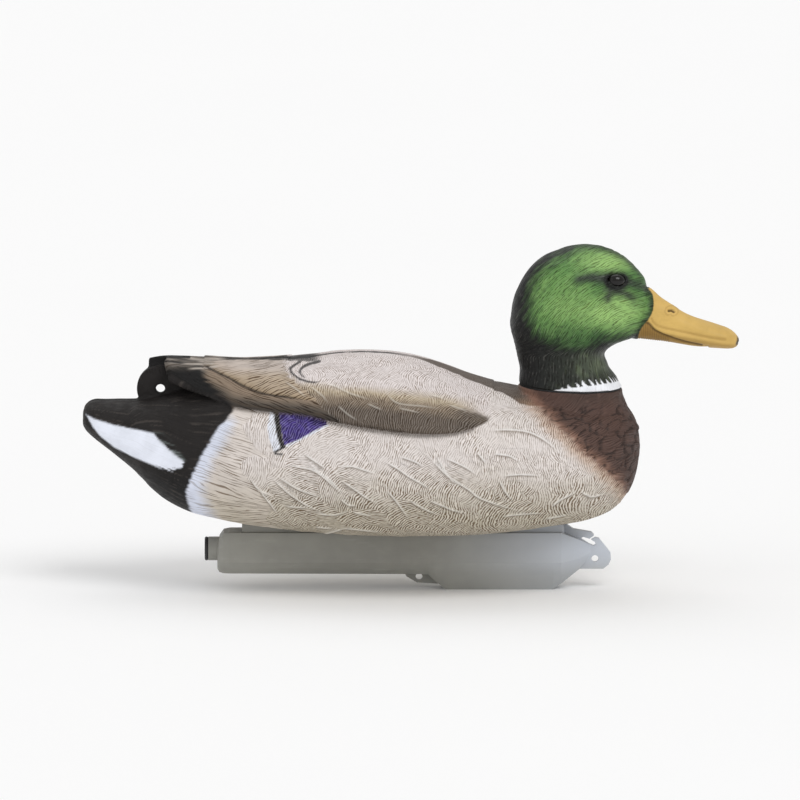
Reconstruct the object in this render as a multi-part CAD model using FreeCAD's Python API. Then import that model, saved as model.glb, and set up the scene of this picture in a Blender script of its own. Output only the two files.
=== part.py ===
import FreeCAD, Part

import os
from math import cos, pi, radians, sin

# Floating mallard drake decoy: a hollow moulded body, a swivelling hollow head and a weighted keel.
# Millimetres. +X runs to the bill, +Y to the duck's left, +Z up. The origin is under the middle of the
# decoy's length, level with the keel's lowest face.

Vec = FreeCAD.Vector

# ---- driving dimensions ----------------------------------------------------------------------------
TOTAL_LENGTH = 472.4
TAIL_X = -TOTAL_LENGTH / 2
BILL_X = TOTAL_LENGTH / 2
BREAST_X = 165.0
BODY_HALF_WIDTH = 86.0
WALL = 2.5                           # moulded wall of body, head and keel

NECK_SEAM = Vec(115.4, 0, 147.0)     # middle of the seam between body and head
NECK_TILT = 2.2                      # degrees that the neck's axis leans towards the breast
NECK_AXIS = Vec(sin(radians(NECK_TILT)), 0, cos(radians(NECK_TILT)))
NECK_RADIUS = 37.5
SOCKET_RADIUS = 30.0
SOCKET_FLANGE = 5.0                  # thickness of the body's ring that the head snaps into
SPIGOT_CLEARANCE = 0.08              # radial, for the head to turn in
TURNING_GAP = 0.05                   # between the head's floor and the gasket, and over the snap bead
SPIGOT_WALL = 2.5
BEAD = 1.2                           # how far the snap bead stands out from the spigot
BEAD_HEIGHT = 3.5
GASKET_RADIUS = 36.6
GASKET_THICKNESS = 1.2

EYE_X = 147.3
EYE_Z = 226.6
EYE_HALF_LENGTH = 6.8
EYE_RADIUS = 4.9
EYE_DEPTH = 1.9                      # how far the bead's centre sits under the skin

LUG_CENTRE = Vec(-179.6, 0, 145.5)
LUG_RADIUS = 17.0
LUG_HALF = 4.5
LUG_HOLE = 3.4

KEEL_TOP = 41.9
KEEL_CEILING = 36.0                  # top of the keel's hollow
FIN_HALF = 2.0
WEB_HALF = 11.0
CORD_HOLE = 2.5                      # radius
FRONT_HOLE = Vec(133.4, 0, 21.4)
MIDDLE_HOLE = Vec(6.5, 0, 8.3)

TUBE_CENTRE = Vec(-145.4, 0, 28.6)   # mouth of the filler tube
TUBE_RADIUS = 8.6
TUBE_BORE = 6.4
PLUG_CLEARANCE = 0.05
PLUG_SHANK = 15.0
PLUG_RIM = 2.6

SCREW_X = (-104.0, -20.0, 95.0)
SCREW_RADIUS = 2.0
SCREW_LENGTH = 26.0
SCREW_HEAD = 3.0
WASHER_THICKNESS = 1.0
WELL_BORE = 5.4
WELL_WALL = 2.2
WELL_ROOF = 31.0                     # height of the seat inside each screw well
BOSS_RADIUS = 7.0
BOSS_TOP = 62.0

BALLAST = Vec(52.0, 15.0, 20.0)
BALLAST_X = 32.0
RIB = 3.0                            # thickness of the ribs that trap the ballast


# ---- curve and solid helpers -----------------------------------------------------------------------
def curve(points):
    """A smooth function through (x, value) points that never overshoots them."""
    xs = [p[0] for p in points]
    ys = [p[1] for p in points]
    steps = [(ys[i + 1] - ys[i]) / (xs[i + 1] - xs[i]) for i in range(len(xs) - 1)]
    slopes = [steps[0]]
    for a, b in zip(steps, steps[1:]):
        slopes.append(0.0 if a * b <= 0 else 2 * a * b / (a + b))
    slopes.append(steps[-1])

    def at(x):
        x = min(max(x, xs[0]), xs[-1])
        i = max(k for k in range(len(xs) - 1) if xs[k] <= x)
        h = xs[i + 1] - xs[i]
        t = (x - xs[i]) / h
        return (
            ys[i] * (1 + 2 * t) * (1 - t) ** 2
            + slopes[i] * h * t * (1 - t) ** 2
            + ys[i + 1] * t * t * (3 - 2 * t)
            + slopes[i + 1] * h * t * t * (t - 1)
        )

    return at


def power(value, exponent):
    return (1 if value >= 0 else -1) * abs(value) ** exponent


def closed_spline(points):
    """A closed curve with evenly spaced knots, so that a loft's sections share them."""
    spline = Part.BSplineCurve()
    knots = [i / len(points) for i in range(len(points) + 1)]
    spline.interpolate(points, PeriodicFlag=True, Parameters=knots)
    return Part.Wire([spline.toShape()])


def upright_oval(x, half_width, low, middle, high, roundness=2.2, points=18):
    """A closed section across X, widest at height middle, squarer for a higher roundness."""
    ring = []
    for i in range(points):
        angle = 2 * pi * i / points
        across = half_width * power(cos(angle), 2 / roundness)
        reach = high - middle if sin(angle) > 0 else middle - low
        ring.append(Vec(x, across, middle + reach * power(sin(angle), 2 / roundness)))
    return closed_spline(ring)


def level_oval(z, half_width, back, middle, front, roundness, points=18):
    """A closed level section at height z, widest at x = middle."""
    ring = []
    for i in range(points):
        angle = 2 * pi * i / points
        reach = front - middle if cos(angle) > 0 else middle - back
        across = half_width * power(sin(angle), 2 / roundness)
        ring.append(Vec(middle + reach * power(cos(angle), 2 / roundness), across, z))
    return closed_spline(ring)


def loft(sections, ruled=False):
    return Part.makeLoft(sections, True, ruled)


def side_plate(points, y0, y1):
    """A straight-sided outline given as (x, z), filled from y0 to y1."""
    corners = [Vec(x, y0, z) for x, z in points]
    face = Part.Face(Part.makePolygon(corners + corners[:1]))
    return face.extrude(Vec(0, y1 - y0, 0))


def curved_plate(edge, straight, y0, y1):
    """A plate from y0 to y1 whose outline is a smooth edge of (x, z) points, closed by straight ones."""
    spline = Part.BSplineCurve()
    spline.interpolate([Vec(x, y0, z) for x, z in edge])
    corners = [Vec(x, y0, z) for x, z in (edge[-1], *straight, edge[0])]
    face = Part.Face(Part.Wire([spline.toShape(), *Part.makePolygon(corners).Edges]))
    return face.extrude(Vec(0, y1 - y0, 0))


def across_rod(x, z, radius, half):
    """A cylinder along Y through (x, z)."""
    return Part.makeCylinder(radius, 2 * half, Vec(x, -half, z), Vec(0, 1, 0))


def upright_rod(x, radius, bottom, top):
    return Part.makeCylinder(radius, top - bottom, Vec(x, 0, bottom), Vec(0, 0, 1))


def neck_rod(radius, bottom, top):
    """A cylinder on the neck's axis, between two distances from the seam."""
    return Part.makeCylinder(radius, top - bottom, NECK_SEAM + NECK_AXIS * bottom, NECK_AXIS)


# ---- body ------------------------------------------------------------------------------------------
BODY_X = (-235.4, -233, -229, -221, -209, -196, -184, -168, -148, -124, -96, -62, -26, 12, 48, 80, 105,
          125, 140, 150.5, 158, 162.6, 164.6)
BODY_RIDGE = curve([(TAIL_X, 126), (-233, 134), (-228, 137), (-197, 137.5), (-175, 142), (-150, 150),
                    (-115, 162), (-80, 167), (-40, 169), (-8, 167.5), (22, 161), (50, 151.5), (75, 145),
                    (115, 143), (145, 140), (158, 129), (163, 119), (BREAST_X, 106)])
BODY_KEELSON = curve([(TAIL_X, 122), (-233, 115), (-225, 108), (-197, 86), (-184, 74), (-168, 64),
                      (-145, 54.5), (-118, 48), (-60, 42), (-10, 40), (45, 41), (113, 49), (131, 53.5),
                      (143, 58), (152, 65), (159, 76), (163, 88), (BREAST_X, 102)])
BODY_BELT = curve([(TAIL_X, 124), (-200, 113), (-165, 99), (-110, 93), (0, 90), (100, 95),
                   (BREAST_X, 104)])
BODY_HALF = curve([(TAIL_X, 4), (-233, 18), (-226, 24), (-205, 31), (-165, 46), (-120, 66), (-60, 80),
                   (10, BODY_HALF_WIDTH), (60, 83), (100, 72), (130, 56), (150, 38), (161, 20),
                   (BREAST_X, 5)])

WING_X = (-194, -186, -176, -164, -148, -128, -104, -74, -38, 0, 34, 62, 84)
WING_RIDGE = curve([(-194, 166), (-176, 169), (-150, 168), (-115, 166), (-80, 168.5), (-40, 171),
                    (-8, 169), (22, 162), (50, 150), (84, 141)])
WING_BELT = curve([(-194, 158), (-164, 148), (-128, 124), (-90, 100), (-40, 92), (84, 92)])
WING_HALF = curve([(-194, 12), (-176, 19), (-150, 34), (-128, 51), (-104, 68), (-74, 80), (-38, 87.5),
                   (0, 90.5), (34, 89), (62, 83.5), (84, 74)])
WING_EDGE = [(66, 141), (57, 133), (50, 129), (34, 125.5), (10, 125.5), (-15, 128.5), (-45, 132),
             (-80, 135), (-112, 136.5), (-128, 139.5), (-140, 144), (-152, 148.5)]
WING_TIP = {-1: [(-171, 155.2), (-176, 169.5), (-172, 185)],
            1: [(-171, 153.5), (-188.3, 158.5), (-187, 185)]}

NECK_FLARE = curve([(-30, 52), (-21, 45.4), (-14, 41.5), (-7, 38.6), (0, NECK_RADIUS)])


def body_form(shrink=0.0):
    """The body's outer form without wings, or its hollow when shrink is the wall's thickness."""
    first, last = TAIL_X + 7 * shrink, BREAST_X - shrink
    sections = []
    for x in BODY_X:
        if first < x < last:
            low, high = BODY_KEELSON(x) + shrink, BODY_RIDGE(x) - shrink
            sections.append(upright_oval(x, BODY_HALF(x) - shrink, low, BODY_BELT(x), high))
    if not shrink:
        sections.insert(0, Part.Vertex(Vec(TAIL_X, 0, BODY_BELT(TAIL_X))))
        sections.append(Part.Vertex(Vec(BREAST_X, 0, BODY_BELT(BREAST_X))))
    return loft(sections)


def neck_flare(shrink=0.0, top=0.0):
    """The round rise from the body to the seam, or its hollow, which ends at top."""
    rings = []
    for height in (-28, -21, -14, -7, top):
        ring = Part.Circle(NECK_SEAM + NECK_AXIS * height, NECK_AXIS, NECK_FLARE(height) - shrink)
        rings.append(Part.Wire([ring.toShape()]))
    return loft(rings)


def wing(side):
    """One folded wing, side -1 for the right one and 1 for the left one."""
    form = loft([upright_oval(x, WING_HALF(x), 45, WING_BELT(x), WING_RIDGE(x)) for x in WING_X])
    outline = curved_plate(WING_EDGE, WING_TIP[side] + [(66, 185)], -100, -0.6)
    right = form.common(outline)
    return right if side < 0 else right.mirror(Vec(0, 0, 0), Vec(0, 1, 0))


def tail_lug():
    """The flat round lug behind the wings, with a root that runs forward under them."""
    disc = across_rod(LUG_CENTRE.x, LUG_CENTRE.z, LUG_RADIUS, LUG_HALF)
    root = side_plate([(-193.6, 117), (-193.6, 140), (-166, 156.5), (-141, 159), (-141, 117)],
                      -LUG_HALF, LUG_HALF)
    return disc.fuse(root)


def body_shell():
    outer = body_form().fuse([neck_flare(), wing(-1), wing(1), tail_lug()])
    hollow = body_form(WALL).fuse(neck_flare(WALL, -SOCKET_FLANGE))
    for x in SCREW_X:
        hollow = hollow.cut(upright_rod(x, BOSS_RADIUS, 0, BOSS_TOP))
    body = outer.cut(hollow).cut(neck_rod(SOCKET_RADIUS, -SOCKET_FLANGE - 1, 1))
    for x in SCREW_X:
        body = body.cut(upright_rod(x, SCREW_RADIUS, 0, WELL_ROOF + SCREW_LENGTH))
    lug_hole = across_rod(LUG_CENTRE.x, LUG_CENTRE.z, LUG_HOLE, 3 * LUG_HALF)
    return body.cut(lug_hole)


# ---- head ------------------------------------------------------------------------------------------
HEAD_Z = (152, 157, 163, 169, 174, 178, 181.5, 185, 190, 197, 205, 213, 221, 228, 234, 239, 243, 245.8,
          247.3, 247.9)
HEAD_BACK = curve([(147, 78.2), (152, 78.6), (160, 79), (170, 77), (179, 75), (192, 72), (205, 73.4),
                   (213, 76), (222, 80.6), (231, 87), (239.4, 96.5), (243, 104), (245.8, 111.5),
                   (247.3, 118.5), (247.9, 124)])
HEAD_FRONT = curve([(147, 152.6), (153, 149), (161.6, 143.3), (168, 140), (173, 141), (178, 147),
                    (181.5, 156), (185, 163.5), (190, 167), (197, 170.5), (204, 172.5), (211, 172),
                    (218.5, 170.5), (226, 166), (231, 162.5), (235, 158), (239.4, 153), (243, 147),
                    (245.8, 140.5), (247.3, 134.5), (247.9, 130)])
HEAD_HALF = curve([(147, 37.4), (152, 36), (160, 33), (168, 31), (176, 30.5), (186, 32), (197, 33.5),
                   (207, 34), (216, 33.2), (224, 31), (231, 27.6), (237, 23), (241, 18.6), (243, 15.8),
                   (245.8, 10.4), (247.3, 6), (247.9, 2.5)])
HEAD_WIDEST = 118.0                  # where along X the head is widest
CROWN = Vec(127, 0, 248)
CROWN_FROM = 234.0                   # the height above which the sections close in on the crown
HEAD_ROUNDNESS = 2.1

BILL_TOP = curve([(150, 221), (163, 220), (171.4, 217.5), (177, 212), (188.6, 203.8), (200, 197),
                  (217, 191.2), (229, 186.8), (234.5, 182), (BILL_X, 179.4)])
BILL_BOTTOM = curve([(150, 182), (160, 182), (171, 181.1), (189, 178.9), (206, 176), (217, 175.2),
                     (229, 174.6), (234.5, 175.6), (BILL_X, 178)])
BILL_HALF = curve([(150, 15.5), (165, 14.5), (180, 12.4), (195, 12.2), (210, 13.4), (221, 14.2), (229, 13),
                   (234.5, 8.5), (BILL_X, 3)])
BILL_STATIONS = (152, 163, 171, 178, 187, 198, 210, 221, 229, 233, 235.4)
BILL_HOLLOW_X = 211                  # the bill is solid in front of this


def skull(shrink=0.0, floor=0.0):
    """The head and neck above the seam, or their hollow."""
    base = Part.Circle(NECK_SEAM + NECK_AXIS * floor, NECK_AXIS, NECK_RADIUS - shrink)
    sections = [Part.Wire([base.toShape()])]
    for z in HEAD_Z:
        if shrink and z > CROWN.z - 2 * shrink:
            continue
        rise = max(0, (z - CROWN_FROM) / (CROWN.z - CROWN_FROM))
        middle = HEAD_WIDEST + rise * (CROWN.x - HEAD_WIDEST)
        back, front = HEAD_BACK(z) + shrink, HEAD_FRONT(z) - shrink
        sections.append(level_oval(z, HEAD_HALF(z) - shrink, back, middle, front, HEAD_ROUNDNESS))
    return loft(sections)


def cheek(x, z):
    """Half the head's width at (x, z), in front of its widest place."""
    reach = (x - HEAD_WIDEST) / (HEAD_FRONT(z) - HEAD_WIDEST)
    return HEAD_HALF(z) * (1 - reach ** HEAD_ROUNDNESS) ** (1 / HEAD_ROUNDNESS)


def bill(shrink=0.0, last=BILL_X):
    sections = []
    for x in BILL_STATIONS:
        if x < last:
            low, high = BILL_BOTTOM(x) + shrink, BILL_TOP(x) - shrink
            middle = low + 0.35 * (high - low)
            sections.append(upright_oval(x, BILL_HALF(x) - shrink, low, middle, high, 2.0, 14))
    if not shrink:
        sections.append(Part.Vertex(Vec(BILL_X, 0, BILL_BOTTOM(BILL_X) + 0.7)))
    return loft(sections)


def eye(side):
    """A glossy bead, longer along the head than it is high."""
    ellipse = Part.Ellipse(Vec(0, 0, 0), EYE_HALF_LENGTH, EYE_RADIUS)
    arc = Part.ArcOfEllipse(ellipse, 0, pi).toShape()
    axis = Part.makeLine(Vec(-EYE_HALF_LENGTH, 0, 0), Vec(EYE_HALF_LENGTH, 0, 0))
    bead = Part.Face(Part.Wire([arc, axis])).revolve(Vec(0, 0, 0), Vec(1, 0, 0), 360)
    bead.translate(Vec(EYE_X, side * (cheek(EYE_X, EYE_Z) - EYE_DEPTH), EYE_Z))
    return bead


def eye_pad(side):
    """The thickening behind each eye, inside the head."""
    centre = Vec(EYE_X, side * (cheek(EYE_X, EYE_Z) - 2 * EYE_DEPTH), EYE_Z)
    return Part.makeSphere(EYE_HALF_LENGTH + WALL, centre)


def head_shell():
    floor = GASKET_THICKNESS + TURNING_GAP
    outer = skull(0, floor).fuse(bill())
    hollow = skull(WALL, floor + WALL).fuse(bill(WALL, BILL_HOLLOW_X))
    hollow = hollow.cut(eye_pad(-1)).cut(eye_pad(1))
    under_flange = -SOCKET_FLANGE - TURNING_GAP
    spigot = neck_rod(SOCKET_RADIUS - SPIGOT_CLEARANCE, under_flange - BEAD_HEIGHT, floor + 0.5)
    bead = Part.makeCone(SOCKET_RADIUS + BEAD, SOCKET_RADIUS - 1.0, BEAD_HEIGHT,
                         NECK_SEAM + NECK_AXIS * under_flange, NECK_AXIS * -1)
    bore = neck_rod(SOCKET_RADIUS - SPIGOT_WALL, under_flange - 2 * BEAD_HEIGHT, floor + 2 * WALL)
    head = outer.cut(hollow).fuse([spigot, bead]).cut(bore)
    return head.cut(eye(-1)).cut(eye(1))


def neck_gasket():
    outer = neck_rod(GASKET_RADIUS, 0, GASKET_THICKNESS)
    return outer.cut(neck_rod(SOCKET_RADIUS, -1, GASKET_THICKNESS + 1))


# ---- keel ------------------------------------------------------------------------------------------
KEEL_RUN = (
    # x, top, belt: height and half width, knuckle: height and half width, floor: height and half width
    (-138.8, 30.0, 20.6, 12.5, 17.0, 10.2, 15.0, 7.5),
    (-137.4, 37.0, 20.6, 14.6, 16.0, 11.8, 12.8, 9.0),
    (-134.4, 41.0, 20.6, 15.6, 15.6, 12.3, 12.0, 9.4),
    (-130.0, KEEL_TOP, 20.6, 16.0, 15.5, 12.4, 11.8, 9.5),
    (13.0, KEEL_TOP, 20.6, 17.0, 15.0, 13.2, 11.4, 10.0),
    (18.0, KEEL_TOP, 20.6, 17.0, 11.5, 13.2, 6.5, 10.0),
    (26.0, KEEL_TOP, 20.6, 17.0, 10.7, 12.3, 0.0, 8.5),
    (103.0, KEEL_TOP, 20.6, 17.0, 10.7, 12.3, 0.0, 8.5),
    (109.0, KEEL_TOP, 20.6, 16.6, 11.5, 11.3, 4.0, 7.0),
    (122.0, 36.0, 22.5, 9.0, 17.5, 6.0, 14.0, 3.6),
    (130.4, 31.4, 26.0, FIN_HALF, 24.5, 1.8, 23.0, 1.4),
)
KEEL_TOP_TAPER = 0.82                # half width at the top over half width at the belt


def keel_section(x, top, belt, belt_half, knuckle, knuckle_half, floor, floor_half, shrink):
    """An eight-cornered section: flat top, widest at the belt, two slopes down to a flat floor."""
    outline = [(belt_half * KEEL_TOP_TAPER - shrink, top), (belt_half - shrink, belt),
               (knuckle_half - shrink, knuckle + shrink / 2), (floor_half - shrink / 2, floor + shrink)]
    right = [Vec(x, -y, z) for y, z in outline]
    left = [Vec(x, y, z) for y, z in reversed(outline)]
    return Part.makePolygon(right + left + right[:1])


def keel_form(shrink=0.0):
    """The keel's outer form, or its hollow, which stops short of the ends."""
    sections = []
    for x, top, *rest in KEEL_RUN[3:-2] if shrink else KEEL_RUN:
        sections.append(keel_section(x, KEEL_CEILING if shrink else top, *rest, shrink))
    return loft(sections, ruled=True)


def keel_web():
    """The narrow rib that closes the gap between keel and body where the body curves up."""
    return side_plate([(-121, 36), (-121, 51), (-112, 54), (106, 56), (111, 46), (111, 36)],
                      -WEB_HALF, WEB_HALF)


def front_fin():
    """A thin lug on the centre plane with a cord slot above and a cord hole below."""
    plate = side_plate([(98, 60), (110, 56), (113.4, 46.2), (117.7, 43.2), (130.7, 40.9), (132.6, 39),
                        (132.2, 37.4), (133.4, 36.9), (136.2, 36.3), (144.6, 25.6), (144.9, 20.8),
                        (143.2, 17), (139.4, 14), (120, 14), (100, 30)], -FIN_HALF, FIN_HALF)
    slot = side_plate([(122.9, 36), (123.8, 34.2), (128.5, 32.4), (132.4, 30.8), (134, 31.8),
                       (133.2, 33.6), (129.8, 35.8), (124.8, 37.3)], -2 * FIN_HALF, 2 * FIN_HALF)
    gate = side_plate([(129.2, 35.8), (130.4, 35), (134.2, 37.2), (133, 38.4)],
                      -2 * FIN_HALF, 2 * FIN_HALF)
    return plate.cut(slot).cut(gate)


def middle_fin():
    return side_plate([(-6, 14), (-2.5, 8.5), (5, 4), (20, 3.2), (26, 14)], -FIN_HALF, FIN_HALF)


def filler_tube():
    return Part.makeCylinder(TUBE_RADIUS, 15, TUBE_CENTRE, Vec(1, 0, 0))


def ballast_ribs():
    size = Vec(RIB, 2 * TUBE_RADIUS, BALLAST.z + WALL)
    return [Part.makeBox(size.x, size.y, size.z, Vec(x, -size.y / 2, 0))
            for x in (BALLAST_X - RIB, BALLAST_X + BALLAST.x)]


def keel_shell():
    solid = keel_form()
    wells = [upright_rod(x, WELL_BORE + WELL_WALL, 0, KEEL_TOP) for x in SCREW_X]
    inner = [piece.common(solid) for piece in wells + ballast_ribs()]
    shell = solid.cut(keel_form(WALL)).fuse(inner)
    shell = shell.fuse([keel_web(), front_fin(), middle_fin(), filler_tube()]).cut(body_form())
    for x in SCREW_X:
        shell = shell.cut(upright_rod(x, WELL_BORE, -1, WELL_ROOF))
        shell = shell.cut(upright_rod(x, SCREW_RADIUS + 0.3, 0, 60))
    bore = Part.makeCylinder(TUBE_BORE, 20, TUBE_CENTRE - Vec(1, 0, 0), Vec(1, 0, 0))
    shell = shell.cut(bore)
    shell = shell.cut(across_rod(FRONT_HOLE.x, FRONT_HOLE.z, CORD_HOLE, 3 * FIN_HALF))
    return shell.cut(across_rod(MIDDLE_HOLE.x, MIDDLE_HOLE.z, CORD_HOLE, 3 * FIN_HALF))


def keel_plug():
    shank = Part.makeCylinder(TUBE_BORE - PLUG_CLEARANCE, PLUG_SHANK, TUBE_CENTRE, Vec(1, 0, 0))
    rim = Part.makeCylinder(TUBE_RADIUS, PLUG_RIM, TUBE_CENTRE - Vec(PLUG_RIM, 0, 0), Vec(1, 0, 0))
    rounds = [edge for edge in rim.Edges if edge.BoundBox.XLength < 0.1]
    rim = rim.makeFillet(1.2, rounds)
    return shank.fuse(rim)


def ballast_weight():
    slug = Part.makeBox(BALLAST.x, BALLAST.y, BALLAST.z, Vec(BALLAST_X, -BALLAST.y / 2, WALL))
    return slug.makeChamfer(1.5, slug.Edges)


def keel_screws():
    """The screws that pull the keel up against the body, as separate solids."""
    screws = []
    for x in SCREW_X:
        seat = WELL_ROOF - WASHER_THICKNESS
        shank = upright_rod(x, SCREW_RADIUS, seat, WELL_ROOF + SCREW_LENGTH)
        cap = upright_rod(x, 2 * SCREW_RADIUS, seat - SCREW_HEAD, seat)
        socket = upright_rod(x, SCREW_RADIUS, seat - SCREW_HEAD, seat - SCREW_HEAD / 2)
        screws.append(shank.fuse(cap).cut(socket))
    return Part.makeCompound(screws)


def keel_washers():
    washers = []
    for x in SCREW_X:
        ring = upright_rod(x, WELL_BORE - 0.4, WELL_ROOF - WASHER_THICKNESS, WELL_ROOF)
        washers.append(ring.cut(upright_rod(x, SCREW_RADIUS, 0, 60)))
    return Part.makeCompound(washers)


# ---- write the sub-parts ---------------------------------------------------------------------------
SUBPARTS = {
    "body_shell": body_shell,
    "neck_gasket": neck_gasket,
    "head_shell": head_shell,
    "right_eye": lambda: eye(-1),
    "left_eye": lambda: eye(1),
    "keel_shell": keel_shell,
    "keel_plug": keel_plug,
    "ballast_weight": ballast_weight,
    "keel_screws": keel_screws,
    "keel_washers": keel_washers,
}

os.makedirs("parts", exist_ok=True)
for node, build in SUBPARTS.items():
    build().exportStep(f"parts/{node}.step")
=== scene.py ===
import math
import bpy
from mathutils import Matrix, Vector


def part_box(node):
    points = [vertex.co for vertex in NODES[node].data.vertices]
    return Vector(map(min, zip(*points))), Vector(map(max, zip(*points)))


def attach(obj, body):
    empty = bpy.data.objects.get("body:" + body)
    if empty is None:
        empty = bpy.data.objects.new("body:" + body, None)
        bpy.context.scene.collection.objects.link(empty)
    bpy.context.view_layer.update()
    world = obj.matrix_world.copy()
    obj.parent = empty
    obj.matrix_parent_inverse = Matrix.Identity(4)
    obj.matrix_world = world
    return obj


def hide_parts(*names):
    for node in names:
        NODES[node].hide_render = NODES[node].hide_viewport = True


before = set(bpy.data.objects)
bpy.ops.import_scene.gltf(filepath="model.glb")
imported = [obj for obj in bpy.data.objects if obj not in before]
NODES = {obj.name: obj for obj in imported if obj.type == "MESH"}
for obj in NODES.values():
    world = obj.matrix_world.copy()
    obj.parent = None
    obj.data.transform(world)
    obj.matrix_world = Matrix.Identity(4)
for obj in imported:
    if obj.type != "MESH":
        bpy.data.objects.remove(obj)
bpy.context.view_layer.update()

from types import SimpleNamespace

import bpy
import numpy as np
from mathutils import Vector

# Looks of the floating drake decoy: painted, feather-textured skins round its body and its head.
# Metres at the end. The relief and the paint are worked out in millimetres, in the frame's axes, and laid
# out on (s, t), the flat view of the duck's side: s runs forward and t upward.

VIEW_TILT = 0.149            # tangent of the raised view that the paint is laid out for
BODY_VOXEL = 1.0             # mm
HEAD_VOXEL = 0.8
NECK_X = 115.4
SEAM_Z = 147.0
NECK_LEAN = math.tan(math.radians(2.2))
BODY_STOP = (32, 0.120, 0.1455)      # rod that stops the neck opening: radius in mm, then its ends in m
HEAD_STOP = (29, 0.1385, 0.160)
APART = 700.0                # mm between the noise of the duck's right side and that of its left


# ---- numbers ----
def smooth(low, high, value):
    """0 before low, 1 past high, and an even slope between."""
    t = np.clip((value - low) / (high - low), 0, 1)
    return t * t * (3 - 2 * t)


def bell(distance, width):
    """1 at no distance, falling away to each side."""
    return np.exp(-(distance / width) ** 2)


def mix(a, b, t):
    return a + (b - a) * t


def rand(i, j, seed):
    """A repeatable random number from 0 to 1 for each pair of whole numbers."""
    h = (i.astype(np.int64) * 374761393 + j.astype(np.int64) * 668265263 + seed * 974634777) & 0xFFFFFFFF
    h = ((h ^ (h >> 13)) * 1274126177) & 0xFFFFFFFF
    h = ((h ^ (h >> 16)) * 2246822519) & 0xFFFFFFFF
    return ((h ^ (h >> 15)) & 0xFFFFFF) / float(0x1000000)


def noise(x, y, seed=0):
    """Smooth value noise from -1 to 1, one bump per unit."""
    i, j = np.floor(x), np.floor(y)
    u, v = x - i, y - j
    u, v = u * u * (3 - 2 * u), v * v * (3 - 2 * v)
    low = mix(rand(i, j, seed), rand(i + 1, j, seed), u)
    high = mix(rand(i, j + 1, seed), rand(i + 1, j + 1, seed), u)
    return 2 * mix(low, high, v) - 1


def fractal(x, y, seed):
    """Three octaves of noise, from about -1 to 1."""
    total = sum(0.5 ** k * noise(x * 2 ** k, y * 2 ** k, seed + k) for k in range(3))
    return total / 1.75


def line_distance(x, y, points):
    """Distance to an open run of points, and how far along it the nearest place is, 0 to 1."""
    best = np.full(x.shape, 1e9)
    along = np.zeros(x.shape)
    total = sum(math.dist(a, b) for a, b in zip(points, points[1:]))
    start = 0
    for (ax, ay), (bx, by) in zip(points, points[1:]):
        dx, dy = bx - ax, by - ay
        length = math.hypot(dx, dy)
        t = np.clip(((x - ax) * dx + (y - ay) * dy) / length ** 2, 0, 1)
        d = np.hypot(x - ax - t * dx, y - ay - t * dy)
        near = d < best
        best = np.where(near, d, best)
        along = np.where(near, (start + t * length) / total, along)
        start += length
    return best, along


def inside_distance(x, y, points):
    """Distance to a closed outline, positive inside."""
    ring = points + points[:1]
    odd = np.zeros(x.shape, bool)
    for (ax, ay), (bx, by) in zip(ring, ring[1:]):
        if ay != by:
            crosses = (ay > y) != (by > y)
            odd ^= crosses & (x < (bx - ax) * (y - ay) / (by - ay) + ax)
    return np.where(odd, 1, -1) * line_distance(x, y, ring)[0]


def away(p, run):
    """Distance to a run of points in the side view."""
    return line_distance(p.s, p.t, run)[0]


def within(p, outline):
    """Distance to a closed outline in the side view, positive inside."""
    return inside_distance(p.s, p.t, outline)


def spline(points, step=2.0):
    """The same run of points with its corners rounded off."""
    p = [points[0]] + list(points) + [points[-1]]
    out = []
    for a, b, c, d in zip(p, p[1:], p[2:], p[3:]):
        n = max(2, int(math.dist(b, c) / step))
        for k in range(n):
            t = k / n
            out.append(tuple(
                0.5 * (2 * q + (r - o) * t + (2 * o - 5 * q + 4 * r - s) * t * t
                       + (3 * q - o - 3 * r + s) * t ** 3)
                for o, q, r, s in zip(a, b, c, d)
            ))
    return out + [tuple(points[-1])]


def follow(x, points):
    """A piecewise-straight function through (x, value) points."""
    return np.interp(x, [p[0] for p in points], [p[1] for p in points])


def follow_up(t, points):
    """How far forward an upright run of (s, t) points lies at each height."""
    return follow(t, sorted((q, p) for p, q in points))


def srgb(r, g, b):
    """A linear colour from 0-255 display values."""
    return np.array([c / 255 / 12.92 if c < 10.3 else ((c / 255 + 0.055) / 1.055) ** 2.4 for c in (r, g, b)])


def plain(colour, count):
    """One colour at every vertex."""
    return np.tile(colour, (count, 1))


def paint(colour, other, mask):
    """Colours with another colour, or another set of colours, laid over them where the mask says."""
    return colour + (np.asarray(other) - colour) * np.clip(mask, 0, 1)[:, None]


def choose(*pairs):
    """The last value whose mask is over a half, starting from the first value."""
    out = pairs[0]
    for mask, value in pairs[1:]:
        out = np.where(mask > 0.5, value, out)
    return out


# ---- meshes ----
def link(name, mesh):
    o = bpy.data.objects.new(name, mesh)
    bpy.context.scene.collection.objects.link(o)
    return o


def outer_skin(name, parts, voxel):
    """One even mesh round the outside of the given meshes, in millimetres: vertices, then faces."""
    points, faces = [], []
    for mesh in parts:
        start = len(points)
        points += [v.co for v in mesh.vertices]
        faces += [[start + i for i in f.vertices] for f in mesh.polygons]
    joined = bpy.data.meshes.new(name)
    joined.from_pydata(points, [], faces)
    o = link(name, joined)
    m = o.modifiers.new("even", "REMESH")
    m.mode = "VOXEL"
    m.voxel_size = voxel / 1000
    m.adaptivity = 0
    s = o.modifiers.new("soften", "SMOOTH")
    s.factor = 0.5
    s.iterations = 2
    even = bpy.data.meshes.new_from_object(o.evaluated_get(bpy.context.evaluated_depsgraph_get()))
    bpy.data.objects.remove(o)
    co = np.zeros(len(even.vertices) * 3)
    even.vertices.foreach_get("co", co)
    quads = np.zeros(len(even.loops), np.int64)
    even.loops.foreach_get("vertex_index", quads)
    bpy.data.meshes.remove(even)
    return keep_outside(co.reshape(-1, 3) * 1000, quads.reshape(-1, 4))


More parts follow.
